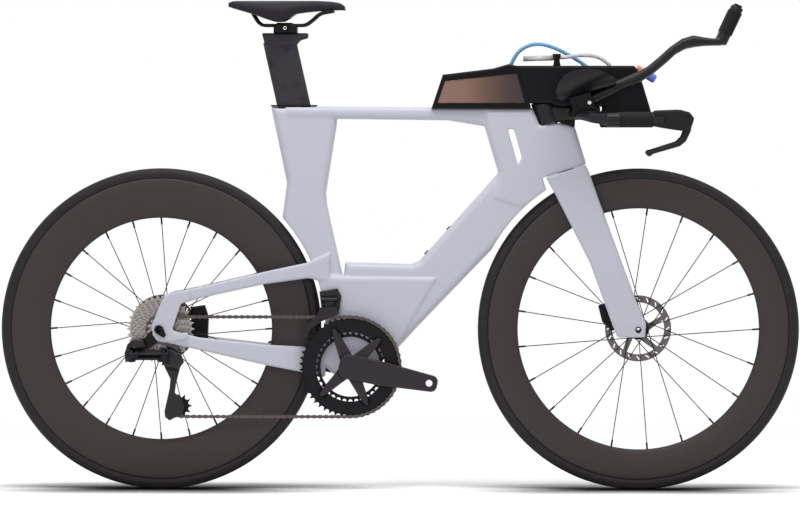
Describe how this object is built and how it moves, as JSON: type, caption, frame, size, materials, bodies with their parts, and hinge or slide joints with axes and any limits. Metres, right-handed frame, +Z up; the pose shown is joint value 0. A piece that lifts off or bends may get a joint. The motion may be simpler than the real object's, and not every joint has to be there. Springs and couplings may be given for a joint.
{
  "type": "time trial bicycle",
  "caption": "Time trial bicycle: deep aero frame and rims, low base bar with arm rests and raised extensions, storage and drink boxes, disc brakes, no pedals.",
  "frame": {"origin": "on the floor midway between the two wheel axles, in the bicycle's middle plane", "axes": "+X forward, +Y to the rider's left, +Z up"},
  "size_m": [1.6864, 0.4322, 1.0317],
  "materials": {
    "paint": "gloss",
    "black_carbon": "satin",
    "rim_carbon": "matte",
    "tyre": "matte",
    "steel": "satin",
    "alloy_silver": "satin",
    "alloy_black": "satin",
    "alloy_grey": "satin",
    "post_carbon": "matte",
    "saddle_skin": "matte",
    "rubber": "matte",
    "box_plastic": "satin",
    "smoked_window": "gloss",
    "hose_blue": "gloss",
    "straw_clear": "gloss",
    "valve_orange": "satin",
    "pad_foam": "matte"
  },
  "bodies": {
    "frame": {"frame": "paint", "headset_bearings": "steel", "headset_cover": "box_plastic", "bottom_bracket_cups": "alloy_black", "seat_collar": "rubber", "bottle_inserts": "alloy_black", "rear_axle": "alloy_black", "derailleur_hanger": "alloy_black", "rear_caliper": "alloy_grey", "front_derailleur": "alloy_grey", "rd_b_knuckle": "alloy_grey", "storage_box": "box_plastic", "storage_windows": "smoked_window", "hose": "hose_blue", "chain": "steel"},
    "steering": {"fork": "paint", "base_bar": "black_carbon", "grip_tape": "rubber", "lever_hoods": "rubber", "drink_box": "box_plastic", "straw": "straw_clear", "straw_clip": "box_plastic", "bite_valve": "valve_orange", "armrest_risers": "alloy_black", "armrest_cups": "black_carbon", "arm_pads": "pad_foam", "extensions": "black_carbon", "extension_grips": "rubber", "front_axle": "alloy_black", "front_caliper": "alloy_grey"},
    "front_wheel": {"front_tyre": "tyre", "front_rim": "rim_carbon", "front_spokes": "alloy_black", "front_hub": "alloy_black", "front_rotor": "steel"},
    "rear_wheel": {"rear_tyre": "tyre", "rear_rim": "rim_carbon", "rear_spokes": "alloy_black", "rear_hub": "alloy_black", "rear_rotor": "steel"},
    "cassette": {"cassette": "steel"},
    "crankset": {"crank_right": "alloy_grey", "crank_left": "alloy_grey", "chainrings": "alloy_black"},
    "rd_outer_link": {"rd_outer_link": "alloy_grey"},
    "rd_inner_link": {"rd_inner_link": "alloy_grey"},
    "rd_p_knuckle": {"rd_p_knuckle": "alloy_grey"},
    "rd_cage": {"rd_cage": "alloy_grey"},
    "guide_pulley": {"guide_pulley": "rubber"},
    "tension_pulley": {"tension_pulley": "rubber"},
    "fd_cage": {"fd_cage": "alloy_silver"},
    "seatpost": {"seatpost": "post_carbon", "saddle_clamp": "alloy_black"},
    "saddle": {"saddle_cover": "saddle_skin", "saddle_shell": "black_carbon", "saddle_rails": "alloy_grey"},
    "brake_lever_left": {"brake_lever_left": "alloy_black"},
    "brake_lever_right": {"brake_lever_right": "alloy_black"},
    "shift_button_left": {"shift_button_left": "box_plastic"},
    "shift_button_right": {"shift_button_right": "box_plastic"}
  },
  "joints": [
    {"name": "steering", "type": "hinge", "parent": "frame", "child": "steering", "pos_m": [0.46128, 0, 0.32547], "axis": [-0.3007, 0, 0.9537], "range_deg": [-35, 35], "deforming": ["hose"]},
    {"name": "front_wheel_spin", "type": "hinge", "parent": "steering", "child": "front_wheel", "pos_m": [0.5042, 0, 0.339], "axis": [0, 1, 0], "continuous": true},
    {"name": "rear_wheel_spin", "type": "hinge", "parent": "frame", "child": "rear_wheel", "pos_m": [-0.5042, 0, 0.339], "axis": [0, 1, 0], "continuous": true},
    {"name": "crank_spin", "type": "hinge", "parent": "frame", "child": "crankset", "pos_m": [-0.10239, 0, 0.26], "axis": [0, 1, 0], "continuous": true, "deforming": ["chain"]},
    {"name": "cassette_spin", "type": "hinge", "parent": "frame", "child": "cassette", "pos_m": [-0.5042, 0, 0.339], "axis": [0, 1, 0], "continuous": true, "deforming": ["chain"]},
    {"name": "derailleur_shift", "type": "hinge", "parent": "frame", "child": "rd_outer_link", "pos_m": [-0.55152, -0.0914, 0.29082], "axis": [0, 0.8, 0.6], "range_deg": [-11, 66], "deforming": ["chain"]},
    {"name": "derailleur_inner_link", "type": "hinge", "parent": "frame", "child": "rd_inner_link", "pos_m": [-0.558, -0.08396, 0.28089], "axis": [0, 0.8, 0.6], "range_deg": [-11, 66]},
    {"name": "derailleur_knuckle", "type": "hinge", "parent": "rd_outer_link", "child": "rd_p_knuckle", "pos_m": [-0.49352, -0.0914, 0.29082], "axis": [0, 0.8, 0.6], "range_deg": [-66, 11]},
    {"name": "cage_swing", "type": "hinge", "parent": "rd_p_knuckle", "child": "rd_cage", "pos_m": [-0.4841, -0.05688, 0.28236], "axis": [0, 1, 0], "range_deg": [-45, 25], "stiffness_Nm_per_rad": 0.3, "deforming": ["chain"]},
    {"name": "guide_pulley_spin", "type": "hinge", "parent": "rd_cage", "child": "guide_pulley", "pos_m": [-0.4841, -0.05688, 0.28236], "axis": [0, 1, 0], "continuous": true},
    {"name": "tension_pulley_spin", "type": "hinge", "parent": "rd_cage", "child": "tension_pulley", "pos_m": [-0.46135, -0.05688, 0.17781], "axis": [0, 1, 0], "continuous": true},
    {"name": "front_shift", "type": "hinge", "parent": "frame", "child": "fd_cage", "pos_m": [-0.14699, -0.043, 0.40178], "axis": [1, 0, 0], "range_deg": [0, 7], "deforming": ["chain"]},
    {"name": "seat_height", "type": "slide", "parent": "frame", "child": "seatpost", "axis": [-0.2181, 0, 0.9759], "range_m": [-0.045, 0.04]},
    {"name": "saddle_fore_aft", "type": "slide", "parent": "seatpost", "child": "saddle", "axis": [1, 0, 0], "range_m": [-0.008, 0.015]},
    {"name": "left_brake", "type": "hinge", "parent": "steering", "child": "brake_lever_left", "pos_m": [0.60605, 0.2, 0.78643], "axis": [0, 1, 0], "range_deg": [0, 18], "stiffness_Nm_per_rad": 0.5},
    {"name": "right_brake", "type": "hinge", "parent": "steering", "child": "brake_lever_right", "pos_m": [0.60605, -0.2, 0.78643], "axis": [0, 1, 0], "range_deg": [0, 18], "stiffness_Nm_per_rad": 0.5},
    {"name": "left_shift_button", "type": "slide", "parent": "steering", "child": "shift_button_left", "axis": [-0.4271, 0, -0.9042], "range_m": [0, 0.002], "stiffness_N_per_m": 1500},
    {"name": "right_shift_button", "type": "slide", "parent": "steering", "child": "shift_button_right", "axis": [-0.4271, 0, -0.9042], "range_m": [0, 0.002], "stiffness_N_per_m": 1500}
  ],
  "couplings": [
    {"joint": "cassette_spin", "follows": "crank_spin", "ratio": 4},
    {"joint": "guide_pulley_spin", "follows": "crank_spin", "ratio": -4.7273},
    {"joint": "tension_pulley_spin", "follows": "crank_spin", "ratio": 4.7273},
    {"joint": "derailleur_inner_link", "follows": "derailleur_shift", "ratio": 1},
    {"joint": "derailleur_knuckle", "follows": "derailleur_shift", "ratio": -1}
  ]
}
